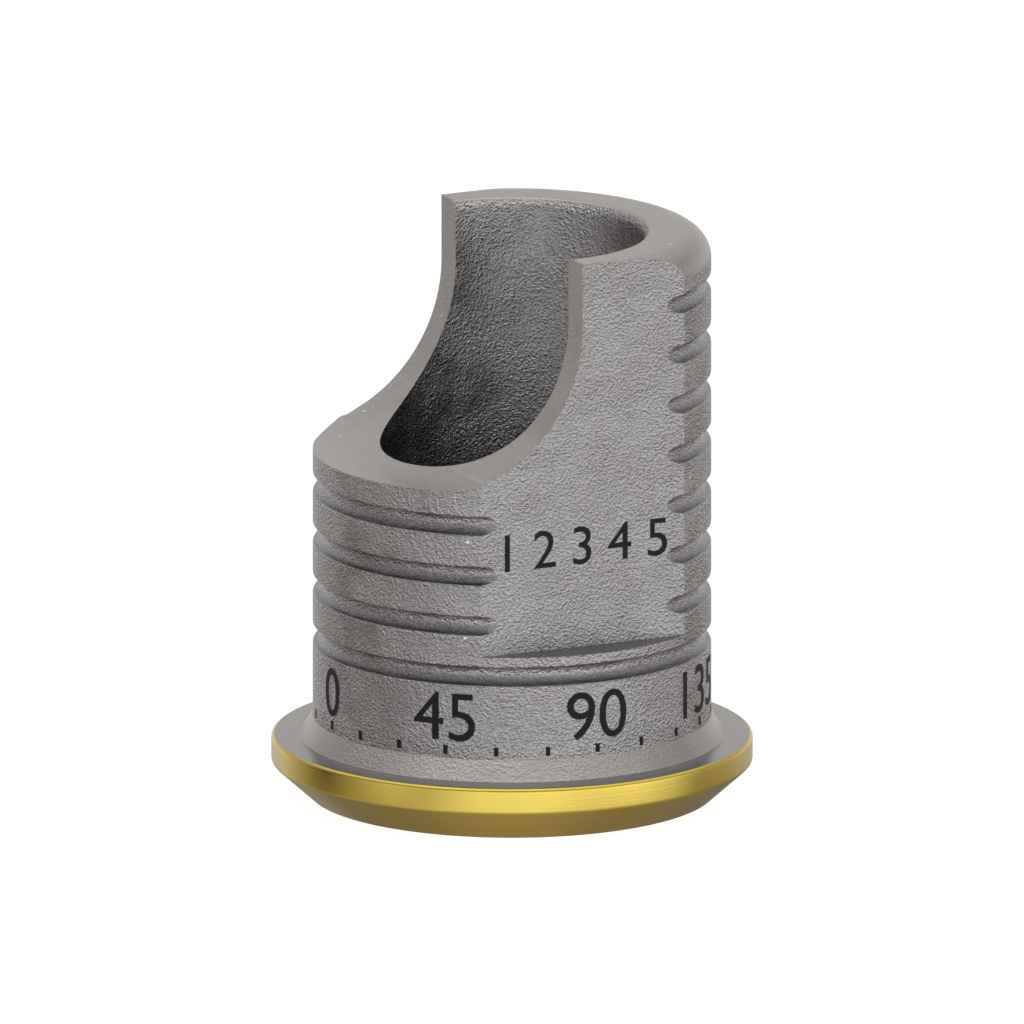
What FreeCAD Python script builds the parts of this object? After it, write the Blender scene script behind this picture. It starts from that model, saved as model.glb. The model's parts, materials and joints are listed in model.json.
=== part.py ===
"""Titanium base abutment: the metal base that a dental crown is cemented over.

One solid, turned and milled from one bar. Millimetres, +Z up along the screw axis.
The origin is the centre of the seating face, where the base meets the implant.
The screw access opening looks towards -Y, and the two flats face -X and +X.
"""
import FreeCAD, Part
import math
import os

V = FreeCAD.Vector
UP = V(0, 0, 1)

# The implant that the base seats on: a 4.1 mm platform with an external hexagon
platform_d = 4.10
implant_hex_af = 2.70
implant_hex_h = 0.70
hex_side_fit = 0.02
hex_top_clearance = 0.06
hex_lead_in_h = 0.15

# The screw that holds the base, and the web that its head pulls on
screw_d = 2.00
screw_clearance = 0.15
screw_seat_w = 0.255
seat_web = 0.64
channel_corner_r = 0.10

# The collar: underside chamfer, upright band and the shelf that the crown's margin meets
collar_chamfer_h = 0.34
collar_band_h = 0.255
collar_shelf_w = 0.285
collar_edge_r = 0.04

# The post that the crown is cemented over
foot_step = 0.135
foot_h = 0.20
post_wall = 0.68
post_h = 5.22
rim_outer_r = 0.285
rim_inner_r = 0.11

# Retention grooves, from the lowest one up to the last that fits under the rim
groove_first_h = 1.06
groove_pitch = 0.519
groove_rim_gap = 0.50
groove_depth = 0.104
groove_tool_r = 0.115

# Two flats against turning, milled down to a ledge just above the lowest groove
flat_depth = 0.355
flat_ledge_gap = 0.20

# Screw access opening: upright wall on the axis, one round bend, level floor
scoop_floor_h = 2.96
scoop_bend_r = 1.61

# Sizes that follow
hex_af = implant_hex_af + hex_side_fit
hex_corner_r = hex_af / 2 / math.cos(math.radians(30))
hex_depth = implant_hex_h + hex_top_clearance
platform_r = platform_d / 2
screw_hole_r = (screw_d + screw_clearance) / 2
channel_r = screw_hole_r + screw_seat_w
post_r = channel_r + post_wall
foot_r = post_r + foot_step
collar_r = foot_r + collar_shelf_w
flat_x = post_r - flat_depth
seat_z = hex_depth + seat_web
collar_top_z = collar_chamfer_h + collar_band_h
post_z = collar_top_z + foot_h
rim_z = collar_top_z + post_h
groove_first_z = collar_top_z + groove_first_h
flat_ledge_z = groove_first_z + flat_ledge_gap
scoop_floor_z = collar_top_z + scoop_floor_h
scoop_bend_z = scoop_floor_z + scoop_bend_r
overrun = 1.0


def rounded_outline(corners):
    """Closed wire in the XZ plane through (x, z, radius) corners, each rounded by its radius."""
    arcs = []
    for i, (x, z, radius) in enumerate(corners):
        corner = V(x, 0, z)
        back = V(corners[i - 1][0], 0, corners[i - 1][1]) - corner
        ahead_x, ahead_z, _ = corners[(i + 1) % len(corners)]
        ahead = V(ahead_x, 0, ahead_z) - corner
        back.normalize()
        ahead.normalize()
        if radius == 0:
            arcs.append((corner, None, corner))
            continue
        half = back.getAngle(ahead) / 2
        middle = back + ahead
        middle.normalize()
        centre = corner + middle * (radius / math.sin(half))
        run = radius / math.tan(half)
        arcs.append((corner + back * run, centre - middle * radius, corner + ahead * run))
    edges = []
    for i, (start, mid, end) in enumerate(arcs):
        if mid is not None:
            edges.append(Part.Arc(start, mid, end).toShape())
        following = arcs[(i + 1) % len(arcs)][0]
        edges.append(Part.LineSegment(end, following).toShape())
    return Part.Wire(edges)


def turned_body():
    """Everything the lathe makes, apart from the grooves: collar, foot, post, rim and screw channel."""
    outline = rounded_outline([
        (screw_hole_r, 0, 0),
        (platform_r, 0, 0),
        (collar_r, collar_chamfer_h, collar_edge_r),
        (collar_r, collar_top_z, collar_edge_r),
        (foot_r, collar_top_z, 0),
        (post_r, post_z, 0),
        (post_r, rim_z, rim_outer_r),
        (channel_r, rim_z, rim_inner_r),
        (channel_r, seat_z, channel_corner_r),
        (screw_hole_r, seat_z, 0),
    ])
    return Part.Face(outline).revolve(V(0, 0, 0), UP, 360)


def retention_grooves():
    """Round-bottomed rings, one pitch apart, as many as fit between the first and the rim."""
    last_z = rim_z - groove_rim_gap
    count = int((last_z - groove_first_z) / groove_pitch) + 1
    ring_r = post_r - groove_depth + groove_tool_r
    heights = [groove_first_z + i * groove_pitch for i in range(count)]
    return [Part.makeTorus(ring_r, groove_tool_r, V(0, 0, z), UP) for z in heights]


def flats():
    """The two slabs that are milled off the post's sides."""
    width = 2 * (post_r + overrun)
    height = rim_z + overrun - flat_ledge_z
    right = Part.makeBox(overrun + flat_depth, width, height, V(flat_x, -width / 2, flat_ledge_z))
    left = right.mirror(V(0, 0, 0), V(1, 0, 0))
    return [right, left]


def scoop():
    """The screw access opening: its side outline, milled straight across the post."""
    top_z = max(rim_z, scoop_bend_z) + overrun
    front_y = -(scoop_bend_r + post_r + overrun)
    reach_x = post_r + overrun
    wall_top = V(-reach_x, 0, top_z)
    bend_top = V(-reach_x, 0, scoop_bend_z)
    lean = scoop_bend_r * (1 - math.cos(math.radians(45)))
    bend_mid = V(-reach_x, -lean, scoop_floor_z + lean)
    bend_end = V(-reach_x, -scoop_bend_r, scoop_floor_z)
    front_low = V(-reach_x, front_y, scoop_floor_z)
    front_high = V(-reach_x, front_y, top_z)
    outline = Part.Wire([
        Part.LineSegment(wall_top, bend_top).toShape(),
        Part.Arc(bend_top, bend_mid, bend_end).toShape(),
        Part.LineSegment(bend_end, front_low).toShape(),
        Part.LineSegment(front_low, front_high).toShape(),
        Part.LineSegment(front_high, wall_top).toShape(),
    ])
    return Part.Face(outline).extrude(V(2 * reach_x, 0, 0))


def hex_recess():
    """The broached hexagon that drops over the implant's, with a lead-in cone at its mouth."""
    angles = [math.radians(30 + 60 * i) for i in range(7)]
    corners = [V(hex_corner_r * math.cos(a), hex_corner_r * math.sin(a), 0) for a in angles]
    prism = Part.Face(Part.makePolygon(corners)).extrude(V(0, 0, hex_depth))
    lead_in = Part.makeCone(hex_corner_r, hex_af / 2, hex_lead_in_h)
    return [prism, lead_in]


def titanium_base():
    cutters = retention_grooves() + flats() + [scoop()] + hex_recess()
    return turned_body().cut(cutters).removeSplitter()


os.makedirs("parts", exist_ok=True)
base = titanium_base()
solid = base.Solids[0]
solid.exportStep("parts/titanium_base.step")
box = solid.optimalBoundingBox(True, False)
print("solids", len(base.Solids), "valid", solid.isValid(), "faces", len(solid.Faces))
print("size", round(box.XLength, 3), round(box.YLength, 3), round(box.ZLength, 3))
print("volume mm3", round(solid.Volume, 4))
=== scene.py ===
# %% [markdown]
# # A titanium base abutment
#
# The object is the small metal base that a dental crown is cemented over. It is one piece of titanium:
# turned on a lathe, milled, blasted with grit, gold coated on its collar and marked by laser. The CAD
# model is the fixed frame, and it holds every size and place. This script draws the piece again as a
# finer mesh, and gives it its finishes, its marks and a studio like the one in the photograph.

# %% Load the frame
import json
import math

import bmesh
import bpy
from mathutils import Matrix, Vector


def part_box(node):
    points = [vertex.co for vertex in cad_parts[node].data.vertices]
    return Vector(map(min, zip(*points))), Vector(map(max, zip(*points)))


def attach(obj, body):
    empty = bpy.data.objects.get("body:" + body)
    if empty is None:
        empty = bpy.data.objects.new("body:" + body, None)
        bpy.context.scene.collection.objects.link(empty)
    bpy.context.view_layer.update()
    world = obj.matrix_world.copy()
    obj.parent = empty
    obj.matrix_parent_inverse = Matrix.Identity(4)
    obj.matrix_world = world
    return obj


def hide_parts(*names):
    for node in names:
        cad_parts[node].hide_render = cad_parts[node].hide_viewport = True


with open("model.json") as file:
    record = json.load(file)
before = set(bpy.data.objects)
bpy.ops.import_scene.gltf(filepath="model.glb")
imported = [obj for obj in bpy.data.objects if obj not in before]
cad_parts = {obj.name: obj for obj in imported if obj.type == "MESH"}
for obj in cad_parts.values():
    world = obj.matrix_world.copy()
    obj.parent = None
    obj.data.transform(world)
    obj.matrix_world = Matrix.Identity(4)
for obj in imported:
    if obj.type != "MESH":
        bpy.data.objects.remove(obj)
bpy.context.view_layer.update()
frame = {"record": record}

MM = 0.001
NODE = "titanium_base"
low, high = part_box(NODE)
mounts = {mount["name"]: mount for mount in frame["record"]["mounts"]}
print("frame", [round((b - a) / MM, 3) for a, b in zip(low, high)], "mm")

# %% [markdown]
# ## Camera
#
# The photograph has no perspective: its ellipses are as wide at the back as at the front. So the camera
# is orthographic. Their height against their width gives its tilt, and the side opening gives its
# direction. An orthographic camera may stand anywhere along its line of sight. This one stands far
# enough back for its lowest rays to start above the floor.

# %% Place the camera
IMAGE_PX = 1024
PX_PER_MM = 99.17
VIEW_AZIMUTH = math.radians(64.55)
VIEW_TILT = math.radians(13.68)
AIM_HEIGHT = 2.8825 * MM
STAND_BACK = 200 * MM
CLIP_START = 1 * MM
CLIP_END = 10000 * MM

aim = Vector((0, 0, AIM_HEIGHT))
towards_camera = Vector((
    math.sin(VIEW_AZIMUTH) * math.cos(VIEW_TILT),
    -math.cos(VIEW_AZIMUTH) * math.cos(VIEW_TILT),
    math.sin(VIEW_TILT),
))
camera_data = bpy.data.cameras.new("camera")
camera_data.type = "ORTHO"
camera_data.ortho_scale = IMAGE_PX / PX_PER_MM * MM
camera_data.clip_start = CLIP_START
camera_data.clip_end = CLIP_END
camera = bpy.data.objects.new("camera", camera_data)
camera.location = aim + towards_camera * STAND_BACK
camera.rotation_euler = towards_camera.to_track_quat("Z", "Y").to_euler()
bpy.context.scene.collection.objects.link(camera)
bpy.context.scene.camera = camera
print("the frame is", round(camera_data.ortho_scale / MM, 3), "mm wide")

# %% [markdown]
# ## One way to add a node
#
# Materials, the studio and the geometry are all node trees. A single small function adds a node, sets
# its settings and links its inputs, so that each tree reads as a list of what feeds what. A node that is
# given as an input stands for its first output, which is the one that most nodes are used for.

# %% Helpers for node trees
def add(tree, kind, inputs=None, **settings):
    """A new node. Settings are its attributes. An input gets a value, or a link from a socket or node."""
    node = tree.nodes.new(kind)
    for name, value in settings.items():
        setattr(node, name, value)
    for key, value in (inputs or {}).items():
        source = value.outputs[0] if isinstance(value, bpy.types.Node) else value
        if isinstance(source, bpy.types.NodeSocket):
            tree.links.new(source, node.inputs[key])
        else:
            node.inputs[key].default_value = source
    return node


def linear(hex_colour):
    """An sRGB hex colour as the linear values that nodes take."""
    levels = [int(hex_colour[i:i + 2], 16) / 255 for i in (1, 3, 5)]
    return [v / 12.92 if v <= 0.04045 else ((v + 0.055) / 1.055) ** 2.4 for v in levels] + [1.0]


# %% [markdown]
# ## The studio
#
# Bare metal has no colour of its own to show: it shows the room, darkened by its reflectance. The
# upright walls of a turned part spread that room out sideways, so each dark or bright stripe on the post
# is a dark or bright thing in the room. Here that is a white tent. A bright band runs round its front at
# the height of the base, with a black card on the left. Higher up, the front is dark where the camera
# looks in, and the tent is bright again overhead. Lamps and cards could stand there, but it takes fewer
# lines to write the tent as brightness by direction: rings of levels one above the other, each counted
# in degrees from the camera. The dimmer a place in the tent is, the warmer its light.

# %% Set the levels of the tent
FLOOR_LEVEL = 0.59
TABLE_RING = (
    (-180, 0.12), (-90, 0.67), (0, 0.91), (45, 0.82), (90, 0.54), (140, 0.39), (180, 0.12),
)
LOWER_RING = (
    (-180, 0.20), (-140, 0.65), (-110, 0.33), (-50, 0.72), (-20, 1.32), (10, 1.50), (40, 1.02),
    (70, 0.84), (100, 0.33), (180, 0.20),
)
SIDES = (
    (-180, 0.85), (-140, 0.98), (-120, 0.57), (-100, 0.00), (-80, 0.60), (-60, 1.12), (-40, 0.81),
    (-15, 1.69), (0, 1.62), (20, 1.86), (40, 1.68), (60, 1.96), (80, 1.51), (100, 0.55), (120, 0.69),
    (140, 0.92), (180, 0.85),
)
UPPER_SIDES = (
    (-180, 0.77), (-120, 0.53), (-25, 0.00), (0, 0.00), (25, 0.11), (60, 0.50), (130, 0.57),
    (180, 0.77),
)
HIGH_SIDES = (
    (-180, 1.10), (-90, 1.20), (-45, 1.38), (0, 1.14), (45, 1.06), (90, 1.18), (135, 1.09),
    (180, 1.10),
)
ROOF_LEVEL = 1.81
BRIGHTEST = 3

# A ring starts between two heights on the sphere of directions, where straight down is -1 and up is 1.
RING_STARTS = (
    (-0.97, -0.88, TABLE_RING),
    (-0.62, -0.50, LOWER_RING),
    (-0.42, -0.06, SIDES),
    (0.10, 0.36, UPPER_SIDES),
    (0.48, 0.76, HIGH_SIDES),
)
ROOF_START = (0.86, 0.97)
DIM_LIGHT = "#FFF4E8"
BRIGHT_LIGHT = "#FFFFFF"
TABLE_LIGHT = "#FFF3F0"
TABLE_LIGHT_TOP = (-0.80, -0.45)
print("studio", len(RING_STARTS), "rings between floor and roof")

# %% Start the world and count directions from the camera
scene = bpy.context.scene
scene.view_settings.view_transform = "Standard"
scene.world = bpy.data.worlds.new("light tent")
scene.world.use_nodes = True
world = scene.world.node_tree
world.nodes.clear()
from_camera = add(world, "ShaderNodeVectorRotate", {
    "Vector": add(world, "ShaderNodeTexCoord").outputs["Generated"],
    "Angle": -VIEW_AZIMUTH,
}, rotation_type="Z_AXIS")
parts = add(world, "ShaderNodeSeparateXYZ", {0: from_camera}).outputs
towards = add(world, "ShaderNodeMath", {0: parts["Y"], 1: -1.0}, operation="MULTIPLY")
bearing = add(world, "ShaderNodeMath", {0: parts["X"], 1: towards}, operation="ARCTAN2")
turns = add(world, "ShaderNodeMath", {0: bearing, 1: 2 * math.pi}, operation="DIVIDE")
round_tent = add(world, "ShaderNodeMath", {0: turns, 1: 0.5}, operation="ADD")


# %% Stack the rings of the tent
def by_bearing(levels):
    """A brightness that follows (degrees, level) stops round the tent, counted from the camera."""
    curve = add(world, "ShaderNodeFloatCurve", {"Value": round_tent})
    stops = curve.mapping.curves[0].points
    for degrees, level in levels[1:-1]:
        stops.new((degrees + 180) / 360, level)
    stops[0].location = (0, levels[0][1])
    stops[len(stops) - 1].location = (1, levels[-1][1])
    for stop in stops:
        stop.handle_type = "VECTOR"
    curve.mapping.clip_max_y = BRIGHTEST
    curve.mapping.update()
    return curve


def stacked(start, end, under, over):
    """One level under a height on the sphere of directions and another over it, blended between."""
    share = add(world, "ShaderNodeMapRange", {
        "Value": parts["Z"],
        "From Min": start,
        "From Max": end,
    }, interpolation_type="SMOOTHSTEP")
    return add(world, "ShaderNodeMix", {"Factor": share, "A": under, "B": over})


tent = FLOOR_LEVEL
for start, end, ring in RING_STARTS:
    tent = stacked(start, end, tent, by_bearing(ring))
tent = stacked(*ROOF_START, tent, ROOF_LEVEL)

# %% Colour the light and show the camera white
warmth = add(world, "ShaderNodeMix", {
    "Factor": tent,
    "A": linear(DIM_LIGHT),
    "B": linear(BRIGHT_LIGHT),
}, data_type="RGBA")
over_table = add(world, "ShaderNodeMapRange", {
    "Value": parts["Z"],
    "From Min": TABLE_LIGHT_TOP[0],
    "From Max": TABLE_LIGHT_TOP[1],
})
tent_colour = add(world, "ShaderNodeMix", {
    "Factor": over_table,
    "A": linear(TABLE_LIGHT),
    "B": warmth.outputs["Result"],
}, data_type="RGBA")
tent_light = add(world, "ShaderNodeBackground", {
    "Color": tent_colour.outputs["Result"],
    "Strength": tent,
})
white = add(world, "ShaderNodeBackground", {"Color": linear("#FFFFFF"), "Strength": 1.0})
seen = add(world, "ShaderNodeMixShader", {
    "Fac": add(world, "ShaderNodeLightPath").outputs["Is Camera Ray"],
    1: tent_light,
    2: white,
})
add(world, "ShaderNodeOutputWorld", {"Surface": seen})
print("world", len(world.nodes), "nodes")

# %% [markdown]
# ## The floor
#
# The floor is a pale disc that reads as white paper. Part of its brightness is its own glow towards the
# camera, so that it stays white while the base still darkens it a little where it stands. Metal would
# show a white floor as a bright stripe that the photograph doesn't have, so the floor stays out of
# reflections. Only the patch under the base is in them: it closes the screw hole, and keeps the channel
# dark.

# %% Lay the floor
FLOOR_RADIUS = 150 * MM
COVERED_RADIUS = 2.0 * MM
DISC_SIDES = 96
PAPER = "#585858"
PAPER_GLOW = 0.96


def disc(name, radius):
    """A flat disc on the floor plane."""
    mesh = bpy.data.meshes.new(name)
    form = bmesh.new()
    bmesh.ops.create_circle(form, cap_ends=True, radius=radius, segments=DISC_SIDES)
    form.to_mesh(mesh)
    form.free()
    sheet = bpy.data.objects.new(name, mesh)
    bpy.context.scene.collection.objects.link(sheet)
    return sheet


floor = disc("floor", FLOOR_RADIUS)
floor.visible_glossy = False
covered_floor = disc("covered_floor", COVERED_RADIUS)
covered_floor.visible_camera = False

paper = bpy.data.materials.new("white paper")
paper.use_nodes = True
paper_tree = paper.node_tree
paper_tree.nodes.clear()
camera_ray = add(paper_tree, "ShaderNodeLightPath").outputs["Is Camera Ray"]
paper_glow = add(paper_tree, "ShaderNodeEmission", {
    "Color": linear("#FFFFFF"),
    "Strength": add(paper_tree, "ShaderNodeMath", {0: camera_ray, 1: PAPER_GLOW}, operation="MULTIPLY"),
})
paper_sum = add(paper_tree, "ShaderNodeAddShader", {
    0: add(paper_tree, "ShaderNodeBsdfDiffuse", {"Color": linear(PAPER)}),
    1: paper_glow,
})
add(paper_tree, "ShaderNodeOutputMaterial", {"Surface": paper_sum})
for sheet in (floor, covered_floor):
    sheet.data.materials.append(paper)
print("floor", FLOOR_RADIUS / MM, "mm in radius, covered floor", COVERED_RADIUS / MM, "mm")

# %% [markdown]
# ## Grit-blasted titanium
#
# Blasting with alumina grit tears titanium into a grey and matt skin. Noise is that torn relief, and
# small Voronoi cells are the dents of single grains in it: each is a hollow with a ridge round it. A
# broad noise makes some patches rougher than others. The relief drives the bump, and it also paints shade
# and light into the colour: darker in each dent's depth and under its upper edge, where little of the tent
# reaches it, and lighter where the metal leans up, because a bump can't shade itself. A few grains of
# white alumina stay stuck in the metal. The Bevel node rounds the light on every cut edge by a hundredth
# of a millimetre, as the blasting did.
#
# The milled opening, the rim and the foot cone took far less of the blast. They are smoother, a little
# warmer and more even, so the same recipe serves them with a shallower relief and closer colours.

# %% Name the grit's sizes
GRIT_MM = 0.022
TORN_SIZE = 1.6
TORN_ROUGHNESS = 0.62
DENT_BEND = 0.8
BEND_SCALE = 1.3
BEND_ROUGHNESS = 0.65
DENT_SHARE = 0.35
PATCH_MM = 0.55
PATCH_EDGES = (0.38, 0.62)
PATCH_DEPTHS = (0.65, 1.25)
SPECK_SPACING_MM = 0.30
SPECK_MM = 0.022
SPECK_SHARE = 0.45
SPECK_COLOUR = "#E9E6E2"
TORN_SEED, SPECK_SEED, DENT_SEED, PATCH_SEED = 3, 5, 9, 21
EDGE_ROUND = 0.014 * MM
EDGE_SAMPLES = 4
HOLLOW_HEIGHTS = (0.35, 0.90)
LEAN_RANGE = 0.30
LEAN_SHARE = 0.80
print("one grain dents", GRIT_MM, "mm, about", round(GRIT_MM * PX_PER_MM, 1), "pixels")


# %% Draw the relief that the grit leaves
def new_finish(name, colour, roughness):
    """A metal material, its tree and its shader node."""
    material = bpy.data.materials.new(name)
    material.use_nodes = True
    tree = material.node_tree
    tree.nodes.clear()
    shader = add(tree, "ShaderNodeBsdfPrincipled", {
        "Base Color": linear(colour),
        "Metallic": 1.0,
        "Roughness": roughness,
    })
    add(tree, "ShaderNodeOutputMaterial", {"Surface": shader})
    return material, tree, shader


def scaled(tree, size_mm, seed):
    """Object coordinates in which one unit is a real size."""
    return add(tree, "ShaderNodeMapping", {
        "Vector": add(tree, "ShaderNodeTexCoord").outputs["Object"],
        "Location": (seed, seed, seed),
        "Scale": (1 / (size_mm * MM), 1 / (size_mm * MM), 1 / (size_mm * MM)),
    })


def dents(tree):
    """The height of overlapping dents, 0 at their middles. Noise bends them out of round."""
    place = scaled(tree, GRIT_MM, DENT_SEED)
    noise = add(tree, "ShaderNodeTexNoise", {
        "Vector": place,
        "Scale": BEND_SCALE,
        "Detail": 3.0,
        "Roughness": BEND_ROUGHNESS,
    })
    bent_place = add(tree, "ShaderNodeVectorMath", {
        0: noise.outputs["Color"],
        1: (DENT_BEND, DENT_BEND, DENT_BEND),
        2: place,
    }, operation="MULTIPLY_ADD")
    return add(tree, "ShaderNodeTexVoronoi", {"Vector": bent_place, "Scale": 1.0}).outputs["Distance"]


def grit_skin(tree):
    """Torn relief with single dents in it, rougher in some patches than in others."""
    torn = add(tree, "ShaderNodeTexNoise", {
        "Vector": scaled(tree, TORN_SIZE * GRIT_MM, TORN_SEED),
        "Scale": 1.0,
        "Detail": 3.0,
        "Roughness": TORN_ROUGHNESS,
    })
    shallow_dents = add(tree, "ShaderNodeMath", {0: dents(tree), 1: DENT_SHARE}, operation="MULTIPLY")
    height = add(tree, "ShaderNodeMath", {0: torn, 1: shallow_dents}, operation="ADD")
    patches = add(tree, "ShaderNodeTexNoise", {
        "Vector": scaled(tree, PATCH_MM, PATCH_SEED),
        "Scale": 1.0,
        "Detail": 2.0,
    })
    patch_depth = add(tree, "ShaderNodeMapRange", {
        "Value": patches,
        "From Min": PATCH_EDGES[0],
        "From Max": PATCH_EDGES[1],
        "To Min": PATCH_DEPTHS[0],
        "To Max": PATCH_DEPTHS[1],
    })
    return add(tree, "ShaderNodeMath", {0: height, 1: patch_depth}, operation="MULTIPLY")


def stuck_grit(tree):
    """1 on the few spots where a white grain is stuck, and 0 between them."""
    cells = add(tree, "ShaderNodeTexVoronoi", {
        "Vector": scaled(tree, SPECK_SPACING_MM, SPECK_SEED),
        "Scale": 1.0,
    })
    spot = add(tree, "ShaderNodeMapRange", {
        "Value": cells.outputs["Distance"],
        "From Min": SPECK_MM / SPECK_SPACING_MM,
        "From Max": 0.5 * SPECK_MM / SPECK_SPACING_MM,
    })
    pick = add(tree, "ShaderNodeSeparateColor", {0: cells.outputs["Color"]})
    chosen = add(tree, "ShaderNodeMath", {0: pick, 1: SPECK_SHARE}, operation="LESS_THAN")
    return add(tree, "ShaderNodeMath", {0: spot, 1: chosen}, operation="MULTIPLY")


# %% Make the two blasted finishes
def blasted_titanium(name, shaded_colour, lit_colour, roughness, depth_mm):
    """Titanium under grit blasting, with relief of a real depth, and painted shade and light in its colour.
    """
    material, tree, shader = new_finish(name, lit_colour, roughness)
    height = grit_skin(tree)
    edge = add(tree, "ShaderNodeBevel", {"Radius": EDGE_ROUND}, samples=EDGE_SAMPLES)
    bump = add(tree, "ShaderNodeBump", {
        "Strength": 1.0,
        "Distance": depth_mm * MM,
        "Height": height,
        "Normal": edge,
    })
    tree.links.new(bump.outputs[0], shader.inputs["Normal"])
    bump_up = add(tree, "ShaderNodeSeparateXYZ", {0: bump}).outputs["Z"]
    edge_up = add(tree, "ShaderNodeSeparateXYZ", {0: edge}).outputs["Z"]
    lean = add(tree, "ShaderNodeMath", {0: bump_up, 1: edge_up}, operation="SUBTRACT")
    # Painted shade and light: the colour runs from the shaded to the lit colour with the relief's height and
    # with how far the bumped surface leans up.
    light_reached = add(tree, "ShaderNodeMix", {
        "Factor": LEAN_SHARE,
        "A": add(tree, "ShaderNodeMapRange", {
            "Value": height,
            "From Min": HOLLOW_HEIGHTS[0],
            "From Max": HOLLOW_HEIGHTS[1],
        }),
        "B": add(tree, "ShaderNodeMapRange", {
            "Value": lean,
            "From Min": -LEAN_RANGE,
            "From Max": LEAN_RANGE,
        }),
    })
    shade = add(tree, "ShaderNodeMix", {
        "Factor": light_reached,
        "A": linear(shaded_colour),
        "B": linear(lit_colour),
    }, data_type="RGBA")
    colour = add(tree, "ShaderNodeMix", {
        "Factor": stuck_grit(tree),
        "A": shade.outputs["Result"],
        "B": linear(SPECK_COLOUR),
    }, data_type="RGBA")
    tree.links.new(colour.outputs["Result"], shader.inputs["Base Color"])
    return material


blasted = blasted_titanium("grit_blasted_titanium", "#4C4A4A", "#C4C2C2", roughness=0.25, depth_mm=0.0175)
milled = blasted_titanium("lightly_blasted_titanium", "#8F8B87", "#B2AFAC", roughness=0.30, depth_mm=0.0062)
print("finishes", blasted.name, milled.name)

# %% [markdown]
# ## Titanium nitride and machined titanium
#
# The collar has a gold coat of titanium nitride a few micrometres thick, laid on as vapour. It is too
# thin to hide what the lathe left: fine rings and a clear gloss. The shelf, the seat and the underside
# are masked from the blast, so they keep the same rings in bare grey. One row of noise, read along the
# radius and the height together, makes rings on every turned face. Cut rings would be truer, but their
# pitch is about a pixel, so bump is enough.

# %% Make the coated and the machined finish
LATHE_FEED_MM = 0.014


def turned_metal(name, colour, roughness, depth_mm):
    """A lathe-turned metal, with the fine rings that the tool's feed leaves round the axis."""
    material, tree, shader = new_finish(name, colour, roughness)
    place = add(tree, "ShaderNodeTexCoord").outputs["Object"]
    flat_place = add(tree, "ShaderNodeVectorMath", {0: place, 1: (1, 1, 0)}, operation="MULTIPLY")
    radius = add(tree, "ShaderNodeVectorMath", {0: flat_place}, operation="LENGTH").outputs["Value"]
    height = add(tree, "ShaderNodeSeparateXYZ", {0: place}).outputs["Z"]
    rings = add(tree, "ShaderNodeTexNoise", {
        "W": add(tree, "ShaderNodeMath", {0: radius, 1: height}, operation="ADD"),
        "Scale": 1 / (LATHE_FEED_MM * MM),
        "Detail": 1.0,
    }, noise_dimensions="1D")
    bump = add(tree, "ShaderNodeBump", {
        "Strength": 1.0,
        "Distance": depth_mm * MM,
        "Height": rings,
        "Normal": add(tree, "ShaderNodeBevel", {"Radius": EDGE_ROUND}, samples=EDGE_SAMPLES),
    })
    tree.links.new(bump.outputs[0], shader.inputs["Normal"])
    return material


gold = turned_metal("titanium_nitride", "#C8B054", roughness=0.20, depth_mm=0.0010)
machined = turned_metal("machined_titanium", "#8E8B88", roughness=0.26, depth_mm=0.0008)
print("finishes", gold.name, machined.name)

# %% [markdown]
# ## Sizes
#
# The frame gives the collar's width, the overall height and the bores. The other sizes repeat the part's
# own, in millimetres, because the mesh is drawn again from them in finer steps. Smoothing the frame's
# own mesh would be less work, but its facets are wider than a pixel and its corners would sink.

# %% Name the sizes
collar_r = (high.x - low.x) / 2 / MM
rim_z = high.z / MM
screw_hole_r = mounts["screw_hole"]["dims"]["r_mm"]
channel_r = mounts["screw_channel"]["dims"]["r_mm"]
platform_r = 2.05
collar_chamfer_h = 0.34
collar_top_z = mounts["crown_margin"]["pos_m"][2] / MM
collar_edge_r = 0.04
foot_r = 2.145
foot_h = 0.20
post_r = 2.01
rim_outer_r = 0.285
rim_inner_r = 0.11
channel_corner_r = 0.10
socket_depth = mounts["hex_socket"]["pos_m"][2] / MM
socket_af = 2.72
lead_in_h = 0.15
seat_z = 1.40
groove_first_z = 1.655
groove_pitch = 0.519
groove_count = 8
groove_depth = 0.104
groove_tool_r = 0.115
groove_lip_r = 0.02
flat_x = 1.655
flat_ledge_z = 1.855
scoop_floor_z = 3.555
scoop_bend_r = 1.61
overrun = 1.0
steps_round = 192
bend_steps = 48
arc_step = math.radians(8)
print("collar", round(collar_r, 4), "rim", round(rim_z, 4))

# %% [markdown]
# ## The outline that the lathe follows
#
# A turned piece is one outline swept round an axis, so the outline is drawn once, as a list of corners
# with a rounding each. It comes in two stretches, below and above the grooves. The section of one groove
# is drawn apart, because it repeats: a round tool's path, with a small lip where blasting wore the edge.

# %% Draw the outlines
def arc(centre, radius, start, end):
    """Points on an arc from one angle to another, both ends included."""
    steps = max(2, math.ceil(abs(end - start) / arc_step))
    angles = [start + (end - start) * i / steps for i in range(steps + 1)]
    return [(centre[0] + radius * math.cos(a), centre[1] + radius * math.sin(a)) for a in angles]


def rounded(corners):
    """Points along (radius, height, rounding) corners. A rounding of 0 leaves a corner sharp."""
    points = []
    for i, (x, z, rounding) in enumerate(corners):
        if rounding == 0:
            points.append((x, z))
            continue
        corner = Vector((x, z))
        back = (Vector(corners[i - 1][:2]) - corner).normalized()
        ahead = (Vector(corners[i + 1][:2]) - corner).normalized()
        half = back.angle(ahead) / 2
        centre = corner + (back + ahead).normalized() * rounding / math.sin(half)
        first = corner + back * rounding / math.tan(half) - centre
        turn = first.angle_signed(corner + ahead * rounding / math.tan(half) - centre)
        start = math.atan2(first.y, first.x)
        points += arc(centre, rounding, start, start - turn)
    return points


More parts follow.
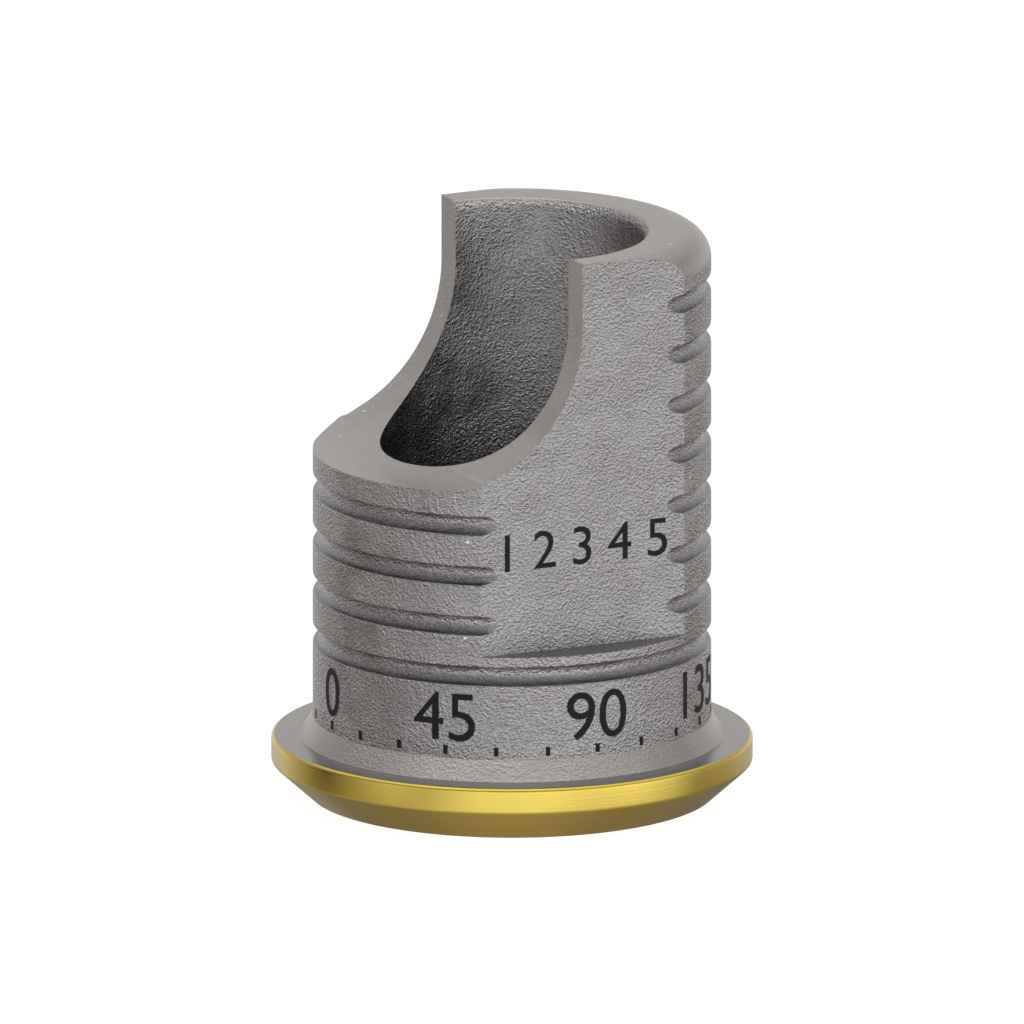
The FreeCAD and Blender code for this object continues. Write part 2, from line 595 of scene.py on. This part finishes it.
def groove_section():
    """One groove from its lower lip to its upper lip, with the post's surface at x = 0."""
    bottom_r = groove_tool_r - groove_lip_r
    centre_x = bottom_r - groove_depth
    lip_z = math.sqrt((bottom_r + groove_lip_r) ** 2 - (centre_x + groove_lip_r) ** 2)
    opening_angle = math.atan2(lip_z, -groove_lip_r - centre_x)
    lower = arc((-groove_lip_r, -lip_z), groove_lip_r, 0, math.pi - opening_angle)
    bottom = arc((centre_x, 0), bottom_r, 2 * math.pi - opening_angle, opening_angle)
    upper = [(x, -z) for x, z in reversed(lower)]
    return lower[:-1] + bottom + upper[1:]


def outline_object(name, points):
    """The points as vertices in the XZ plane, in millimetres, for the node tree to read."""
    mesh = bpy.data.meshes.new(name)
    mesh.from_pydata([(x, 0, z) for x, z in points], [], [])
    return bpy.data.objects.new(name, mesh)


post_z = collar_top_z + foot_h
below = outline_object("outline_below", rounded([
    (screw_hole_r, 0, 0),
    (platform_r, 0, 0),
    (collar_r, collar_chamfer_h, collar_edge_r),
    (collar_r, collar_top_z, collar_edge_r),
    (foot_r, collar_top_z, 0),
    (post_r, post_z, 0),
]))
above = outline_object("outline_above", rounded([
    (post_r, rim_z - rim_outer_r, 0),
    (post_r, rim_z, rim_outer_r),
    (channel_r, rim_z, rim_inner_r),
    (channel_r, seat_z, channel_corner_r),
    (screw_hole_r, seat_z, 0),
]))
groove = outline_object("groove_section", groove_section())
print("outline points", len(below.data.vertices), len(groove.data.vertices), len(above.data.vertices))

# %% [markdown]
# ## A tree that turns and mills the base
#
# The whole shape follows rules: grooves one pitch apart, an outline swept round, straight cuts. Geometry
# Nodes suit that, because each rule is a few nodes and each size is a named input of the tree.

# %% Start the tree
tree = bpy.data.node_groups.new("turned and milled base", "GeometryNodeTree")
tree.interface.new_socket(name="Geometry", in_out="OUTPUT", socket_type="NodeSocketGeometry")
tree_values = {
    "Outline below": below,
    "Groove section": groove,
    "Outline above": above,
    "Groove count": groove_count,
    "Groove pitch": groove_pitch,
    "First groove": groove_first_z,
    "Post radius": post_r,
    "Steps round": steps_round,
    "Flat distance": flat_x,
    "Ledge height": flat_ledge_z,
    "Scoop floor": scoop_floor_z,
    "Scoop bend": scoop_bend_r,
    "Rim height": rim_z,
    "Socket width": socket_af,
    "Socket depth": socket_depth,
    "Lead-in": lead_in_h,
}
socket_kinds = {bpy.types.Object: "NodeSocketObject", int: "NodeSocketInt", float: "NodeSocketFloat"}
for name, value in tree_values.items():
    tree.interface.new_socket(name=name, in_out="INPUT", socket_type=socket_kinds[type(value)])
size = add(tree, "NodeGroupInput").outputs
print("tree inputs", len(tree_values))

# %% Repeat the groove and join the outline
drawn = {}
for name in ("Outline below", "Groove section", "Outline above"):
    drawn[name] = add(tree, "GeometryNodeObjectInfo", {"Object": size[name]}).outputs["Geometry"]
groove_start = add(tree, "ShaderNodeCombineXYZ", {"X": size["Post radius"], "Z": size["First groove"]})
groove_line = add(tree, "GeometryNodeMeshLine", {
    "Count": size["Groove count"],
    "Start Location": groove_start,
    "Offset": add(tree, "ShaderNodeCombineXYZ", {"Z": size["Groove pitch"]}),
})
groove_copies = add(tree, "GeometryNodeInstanceOnPoints", {
    "Points": groove_line,
    "Instance": drawn["Groove section"],
})
grooves = add(tree, "GeometryNodeRealizeInstances", {"Geometry": groove_copies})
outline = add(tree, "GeometryNodeJoinGeometry")
for stretch in (drawn["Outline above"], grooves.outputs[0], drawn["Outline below"]):
    tree.links.new(stretch, outline.inputs[0])

# %% [markdown]
# The sweep is a flat grid with one column for each step round and one row for each outline point. Every
# grid point looks up its outline point by number and is turned about the axis by its column. The first
# and last column meet, and so do the first and last row, so Merge by Distance closes the skin.

# %% Sweep the outline round
SKIN_WELD = 0.00001

count = add(tree, "GeometryNodeAttributeDomainSize", {"Geometry": outline}).outputs["Point Count"]
rows = add(tree, "ShaderNodeMath", {0: count, 1: 1.0}, operation="ADD")
grid = add(tree, "GeometryNodeMeshGrid", {
    "Vertices X": add(tree, "ShaderNodeMath", {0: size["Steps round"], 1: 1.0}, operation="ADD"),
    "Vertices Y": rows,
})
number = add(tree, "GeometryNodeInputIndex")
columns_passed = add(tree, "ShaderNodeMath", {0: number, 1: rows}, operation="DIVIDE")
column = add(tree, "ShaderNodeMath", {0: columns_passed}, operation="FLOOR")
grid_row = add(tree, "ShaderNodeMath", {0: number, 1: rows}, operation="MODULO")
outline_point = add(tree, "GeometryNodeSampleIndex", {
    "Geometry": outline,
    "Value": add(tree, "GeometryNodeInputPosition"),
    "Index": add(tree, "ShaderNodeMath", {0: grid_row, 1: count}, operation="MODULO"),
}, data_type="FLOAT_VECTOR")
one_step = add(tree, "ShaderNodeMath", {0: 2 * math.pi, 1: size["Steps round"]}, operation="DIVIDE")
turned_point = add(tree, "ShaderNodeVectorRotate", {
    "Vector": outline_point,
    "Angle": add(tree, "ShaderNodeMath", {0: column, 1: one_step}, operation="MULTIPLY"),
}, rotation_type="Z_AXIS")
swept = add(tree, "GeometryNodeSetPosition", {
    "Geometry": grid.outputs["Mesh"],
    "Position": turned_point,
})
turned = add(tree, "GeometryNodeMergeByDistance", {"Geometry": swept, "Distance": SKIN_WELD})

# %% [markdown]
# The lathe's finishes go on by place, before any milling: gold where the coating covers the collar, bare
# machined metal underneath and inside the seat, and blasted metal everywhere else. A place is a range of
# radius and a range of height, open where it says None.

# %% Finish the turned surfaces
TINY = 0.001

position = add(tree, "GeometryNodeInputPosition")
height = add(tree, "ShaderNodeSeparateXYZ", {0: position}).outputs["Z"]
flat_position = add(tree, "ShaderNodeVectorMath", {0: position, 1: (1, 1, 0)}, operation="MULTIPLY")
radius = add(tree, "ShaderNodeVectorMath", {0: flat_position}, operation="LENGTH").outputs["Value"]


def finish(geometry, material, radii=(None, None), heights=(None, None)):
    """The geometry with a material on its faces between two radii and two heights."""
    inside = True
    for value, limits in ((radius, radii), (height, heights)):
        for limit, side in zip(limits, ("GREATER_THAN", "LESS_THAN")):
            if limit is not None:
                test = add(tree, "ShaderNodeMath", {0: value, 1: limit}, operation=side)
                inside = add(tree, "ShaderNodeMath", {0: inside, 1: test}, operation="MULTIPLY")
    return add(tree, "GeometryNodeSetMaterial", {
        "Geometry": geometry,
        "Selection": inside,
        "Material": material,
    })


skin = finish(turned, blasted)
skin = finish(skin, gold, radii=(platform_r - TINY, None), heights=(None, collar_top_z - TINY))
skin = finish(skin, machined, heights=(None, TINY))
skin = finish(skin, machined, radii=(None, (channel_r + post_r) / 2), heights=(None, seat_z + TINY))

# %% [markdown]
# The mill leaves three kinds of cut: two slabs off the sides, the curved opening for the screwdriver, and
# the hexagon underneath. Each cutter carries the finish that it leaves, and the Boolean node hands that
# material to the faces it cuts, so no face has to be found again afterwards.

# %% Make the cutters of the two flats
width = 2 * (post_r + overrun)
slab_top = add(tree, "ShaderNodeMath", {0: size["Rim height"], 1: overrun}, operation="ADD")
slab_height = add(tree, "ShaderNodeMath", {0: slab_top, 1: size["Ledge height"]}, operation="SUBTRACT")
slab_ends = add(tree, "ShaderNodeMath", {0: slab_top, 1: size["Ledge height"]}, operation="ADD")
slab_z = add(tree, "ShaderNodeMath", {0: slab_ends, 1: 2.0}, operation="DIVIDE")
slab_x = add(tree, "ShaderNodeMath", {0: size["Flat distance"], 1: overrun / 2}, operation="ADD")
other_x = add(tree, "ShaderNodeMath", {0: slab_x, 1: -1.0}, operation="MULTIPLY")
slab_places = add(tree, "GeometryNodeMeshLine", {
    "Count": 2,
    "Start Location": add(tree, "ShaderNodeCombineXYZ", {"X": slab_x, "Z": slab_z}),
    "Offset": add(tree, "ShaderNodeCombineXYZ", {"X": other_x, "Z": slab_z}),
}, mode="END_POINTS")
slab = add(tree, "GeometryNodeMeshCube", {
    "Size": add(tree, "ShaderNodeCombineXYZ", {"X": overrun, "Y": width, "Z": slab_height}),
})
slab_copies = add(tree, "GeometryNodeInstanceOnPoints", {"Points": slab_places, "Instance": slab})
slabs = add(tree, "GeometryNodeRealizeInstances", {"Geometry": slab_copies})

# %% Make the cutter of the screw opening
front_y = add(tree, "ShaderNodeMath", {0: -post_r - overrun, 1: size["Scoop bend"]}, operation="SUBTRACT")
block_top = add(tree, "ShaderNodeMath", {0: slab_top, 1: size["Scoop bend"]}, operation="ADD")
block_side = add(tree, "GeometryNodeCurvePrimitiveQuadrilateral", {
    "Point 1": add(tree, "ShaderNodeCombineXYZ", {"Y": size["Scoop floor"]}),
    "Point 2": add(tree, "ShaderNodeCombineXYZ", {"Y": block_top}),
    "Point 3": add(tree, "ShaderNodeCombineXYZ", {"X": front_y, "Y": block_top}),
    "Point 4": add(tree, "ShaderNodeCombineXYZ", {"X": front_y, "Y": size["Scoop floor"]}),
}, mode="POINTS")
rounded_side = add(tree, "GeometryNodeFilletCurve", {
    "Curve": block_side,
    "Radius": size["Scoop bend"],
    "Count": bend_steps,
}, mode="POLY")
across = add(tree, "GeometryNodeCurvePrimitiveLine", {"Start": (0, 0, -width / 2), "End": (0, 0, width / 2)})
block = add(tree, "GeometryNodeCurveToMesh", {
    "Curve": across,
    "Profile Curve": rounded_side,
    "Fill Caps": True,
})
scoop = add(tree, "GeometryNodeTransform", {
    "Geometry": block,
    "Rotation": (math.pi / 2, 0, math.pi / 2),
})

# %% Make the cutters of the hexagon and its lead-in
HALF_SIDE = math.radians(30)

half_width = add(tree, "ShaderNodeMath", {0: size["Socket width"], 1: 2.0}, operation="DIVIDE")
corner_r = add(tree, "ShaderNodeMath", {0: half_width, 1: 1 / math.cos(HALF_SIDE)}, operation="MULTIPLY")
corner_width = add(tree, "ShaderNodeMath", {0: corner_r, 1: 2.0}, operation="MULTIPLY")
prism = add(tree, "GeometryNodeMeshCylinder", {
    "Vertices": 6,
    "Radius": corner_r,
    "Depth": add(tree, "ShaderNodeMath", {0: size["Socket depth"], 1: 2.0}, operation="MULTIPLY"),
})
socket = add(tree, "GeometryNodeTransform", {"Geometry": prism, "Rotation": (0, 0, HALF_SIDE)})
cone = add(tree, "GeometryNodeMeshCone", {
    "Vertices": size["Steps round"],
    "Radius Top": half_width,
    "Radius Bottom": add(tree, "ShaderNodeMath", {0: corner_width, 1: half_width}, operation="SUBTRACT"),
    "Depth": add(tree, "ShaderNodeMath", {0: size["Lead-in"], 1: 2.0}, operation="MULTIPLY"),
})
lead_in_start = add(tree, "ShaderNodeMath", {0: size["Lead-in"], 1: -1.0}, operation="MULTIPLY")
lead_in = add(tree, "GeometryNodeTransform", {
    "Geometry": cone,
    "Translation": add(tree, "ShaderNodeCombineXYZ", {"Z": lead_in_start}),
})

# %% Cut them all out of the turned skin
cut = add(tree, "GeometryNodeMeshBoolean", operation="DIFFERENCE", solver="MANIFOLD")
tree.links.new(skin.outputs[0], cut.inputs["Mesh 1"])
for cutter, material in ((slabs, blasted), (scoop, milled), (socket, machined), (lead_in, machined)):
    tree.links.new(finish(cutter, material).outputs[0], cut.inputs["Mesh 2"])

# %% [markdown]
# Faces that meet at less than a set angle are shaded as one smooth surface. Then the instances are made
# real, and the rim, the foot cone and the shelf get their finish last, so that the tree ends in whole
# faces that each have a material.

# %% Shade it smooth and finish the rim, the foot and the shelf
SHARP = math.radians(25)

edge_angle = add(tree, "GeometryNodeInputMeshEdgeAngle").outputs["Unsigned Angle"]
smooth = add(tree, "GeometryNodeSetShadeSmooth", {"Geometry": cut.outputs["Mesh"], "Shade Smooth": True})
creased = add(tree, "GeometryNodeSetShadeSmooth", {
    "Geometry": smooth,
    "Shade Smooth": add(tree, "ShaderNodeMath", {0: edge_angle, 1: SHARP}, operation="LESS_THAN"),
}, domain="EDGE")
whole = add(tree, "GeometryNodeRealizeInstances", {"Geometry": creased})
whole = finish(whole, milled, radii=(channel_r + rim_inner_r / 2, None), heights=(rim_z - rim_outer_r, None))
whole = finish(whole, milled, radii=(post_r, None), heights=(collar_top_z + TINY, post_z))
whole = finish(whole, machined, radii=(foot_r, None), heights=(collar_top_z - TINY, None))
add(tree, "NodeGroupOutput", {"Geometry": whole})
print("tree", len(tree.nodes), "nodes")


# %% Run the tree and check the mesh
def run_tree(tree, values, name):
    """The tree's result, which is in millimetres, as a plain mesh object in metres."""
    carrier = bpy.data.objects.new(name, bpy.data.meshes.new(name))
    bpy.context.scene.collection.objects.link(carrier)
    modifier = carrier.modifiers.new("tree", "NODES")
    modifier.node_group = tree
    for item in tree.interface.items_tree:
        if item.in_out == "INPUT":
            modifier[item.identifier] = values[item.name]
    depsgraph = bpy.context.evaluated_depsgraph_get()
    mesh = bpy.data.meshes.new_from_object(carrier.evaluated_get(depsgraph), depsgraph=depsgraph)
    mesh.transform(Matrix.Scale(MM, 4))
    for slot in reversed(range(len(mesh.materials))):
        if mesh.materials[slot] is None:
            mesh.materials.pop(index=slot)
    carrier.modifiers.remove(modifier)
    carrier.data = mesh
    return carrier


base = run_tree(tree, tree_values, "abutment")
for outline_source in (below, groove, above):
    bpy.data.objects.remove(outline_source)
check = bmesh.new()
check.from_mesh(base.data)
triangles = sum(len(face.verts) - 2 for face in check.faces)
open_edges = sum(1 for edge in check.edges if not edge.is_manifold)
volume = check.calc_volume(signed=True) / MM ** 3
print("abutment", triangles, "triangles", open_edges, "open edges", round(volume, 4), "mm3")
check.free()
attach(base, "root")
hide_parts(NODE)

# %% [markdown]
# ## Laser marks
#
# A marking laser heats the titanium until its oxide turns black, so a mark lies flush with the metal and
# is crisp at its edges. Black oxide has no metal shine and hardly any gloss, and the blasted relief still
# runs under it. The marks here are plain ones: a scale of degrees round the foot, counted from the screw
# access opening, and a count from 1 to 5 on one flat.

# %% Make the marks' finish
OXIDE_GLOSS = 0.2
OXIDE_DEPTH_MM = 0.004

laser_black, black_tree, black_shader = new_finish("laser_marked_titanium", "#201E1F", roughness=0.60)
black_shader.inputs["Metallic"].default_value = 0.0
black_shader.inputs["Specular IOR Level"].default_value = OXIDE_GLOSS
black_bump = add(black_tree, "ShaderNodeBump", {
    "Strength": 1.0,
    "Distance": OXIDE_DEPTH_MM * MM,
    "Height": grit_skin(black_tree),
})
black_tree.links.new(black_bump.outputs[0], black_shader.inputs["Normal"])
print("finish", laser_black.name)

# %% [markdown]
# Each number is a Text object made into a thin closed solid, sunk into the metal and bent round the post.
# Print could also be a mask in the metal's material, but then it would need an image or a drawing in
# nodes for every digit.

# %% Make numbers that follow the metal
MARK_PROUD = 0.003
MARK_SUNK = 0.009
DIGIT_SHARE = 0.73
STRIP_WIDTH = 0.14
CURVE_STEPS = 5
TEXT_WELD = 0.0001
marks = bmesh.new()


def engrave(text, digit_height, place_point):
    """A number as a thin solid, cut into upright strips and laid on the metal.

    place_point(right, up, out) says where a point of the text goes."""
    curve = bpy.data.curves.new("number", "FONT")
    curve.body = text
    curve.align_x = "CENTER"
    curve.size = digit_height / DIGIT_SHARE
    curve.extrude = (MARK_PROUD + MARK_SUNK) / 2
    curve.resolution_u = CURVE_STEPS
    writer = bpy.data.objects.new("number", curve)
    mesh = bpy.data.meshes.new_from_object(writer)
    number = bmesh.new()
    number.from_mesh(mesh)
    bmesh.ops.remove_doubles(number, verts=number.verts, dist=TEXT_WELD)
    reach = max(abs(vert.co.x) for vert in number.verts)
    for i in range(-int(reach / STRIP_WIDTH), int(reach / STRIP_WIDTH) + 1):
        bmesh.ops.bisect_plane(
            number,
            geom=number.verts[:] + number.edges[:] + number.faces[:],
            dist=TEXT_WELD,
            plane_co=(i * STRIP_WIDTH, 0, 0),
            plane_no=(1, 0, 0),
        )
    for vert in number.verts:
        out = vert.co.z + (MARK_PROUD - MARK_SUNK) / 2
        vert.co = Vector(place_point(vert.co.x, vert.co.y, out)) * MM
    number.to_mesh(mesh)
    marks.from_mesh(mesh)
    number.free()
    bpy.data.objects.remove(writer)
    bpy.data.curves.remove(curve)
    bpy.data.meshes.remove(mesh)


# %% Number the degrees round the foot and count on the flat
DEGREE_STEP = 45
DEGREE_HEIGHT = 0.52
DEGREE_Z = 0.98
COUNT_HEIGHT = 0.41
COUNT_Z = 2.71
COUNT_PITCH = 0.42
COUNT_LAST = 5


def on_post(degrees):
    """Where a point of the text goes on the post, for a number centred at these degrees."""
    def place_point(right, up, out):
        turn = math.radians(degrees) + right / post_r
        radius = post_r + out
        return radius * math.sin(turn), -radius * math.cos(turn), DEGREE_Z + up
    return place_point


def on_flat(middle):
    """Where a point of the text goes on the flat, for a number centred at this place along it."""
    def place_point(right, up, out):
        return flat_x + out, middle + right, COUNT_Z + up
    return place_point


for degrees in range(0, 360, DEGREE_STEP):
    engrave(str(degrees), DEGREE_HEIGHT, on_post(degrees))
for number in range(1, COUNT_LAST + 1):
    engrave(str(number), COUNT_HEIGHT, on_flat((number - (COUNT_LAST + 1) / 2) * COUNT_PITCH))
print("numbers", len(marks.faces), "faces")

# %% [markdown]
# The degree ticks repeat round the axis, so Geometry Nodes place them: one small bar on each point of a
# circle, turned to face outwards.

# %% Place the degree ticks
tick_tree = bpy.data.node_groups.new("degree ticks", "GeometryNodeTree")
tick_tree.interface.new_socket(name="Geometry", in_out="OUTPUT", socket_type="NodeSocketGeometry")
tick_values = {
    "Ticks round": 24,
    "Circle radius": post_r + (MARK_PROUD - MARK_SUNK) / 2,
    "Middle height": 0.88,
    "Tick depth": MARK_PROUD + MARK_SUNK,
    "Tick width": 0.045,
    "Tick length": 0.09,
}
for name, value in tick_values.items():
    tick_tree.interface.new_socket(name=name, in_out="INPUT", socket_type=socket_kinds[type(value)])
tick_size = add(tick_tree, "NodeGroupInput").outputs
circle = add(tick_tree, "GeometryNodeMeshCircle", {
    "Vertices": tick_size["Ticks round"],
    "Radius": tick_size["Circle radius"],
})
circle_up = add(tick_tree, "GeometryNodeSetPosition", {
    "Geometry": circle,
    "Offset": add(tick_tree, "ShaderNodeCombineXYZ", {"Z": tick_size["Middle height"]}),
})
bar = add(tick_tree, "GeometryNodeMeshCube", {
    "Size": add(tick_tree, "ShaderNodeCombineXYZ", {
        "X": tick_size["Tick depth"],
        "Y": tick_size["Tick width"],
        "Z": tick_size["Tick length"],
    }),
})
tick_number = add(tick_tree, "GeometryNodeInputIndex")
all_turns = add(tick_tree, "ShaderNodeMath", {0: tick_number, 1: 2 * math.pi}, operation="MULTIPLY")
tick_turn = add(tick_tree, "ShaderNodeMath", {0: all_turns, 1: tick_size["Ticks round"]}, operation="DIVIDE")
bars = add(tick_tree, "GeometryNodeInstanceOnPoints", {
    "Points": circle_up,
    "Instance": bar,
    "Rotation": add(tick_tree, "ShaderNodeCombineXYZ", {"Z": tick_turn}),
})
blackened = add(tick_tree, "GeometryNodeSetMaterial", {
    "Geometry": add(tick_tree, "GeometryNodeRealizeInstances", {"Geometry": bars}),
    "Material": laser_black,
})
add(tick_tree, "NodeGroupOutput", {"Geometry": blackened})

# %% Join the numbers and the ticks
laser_marks = run_tree(tick_tree, tick_values, "laser_marks")
marks.from_mesh(laser_marks.data)
for face in marks.faces:
    face.material_index = 0
marks.to_mesh(laser_marks.data)
marks.free()
laser_marks.data.materials.clear()
laser_marks.data.materials.append(laser_black)
print("laser marks", len(laser_marks.data.polygons), "faces")
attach(laser_marks, "root")
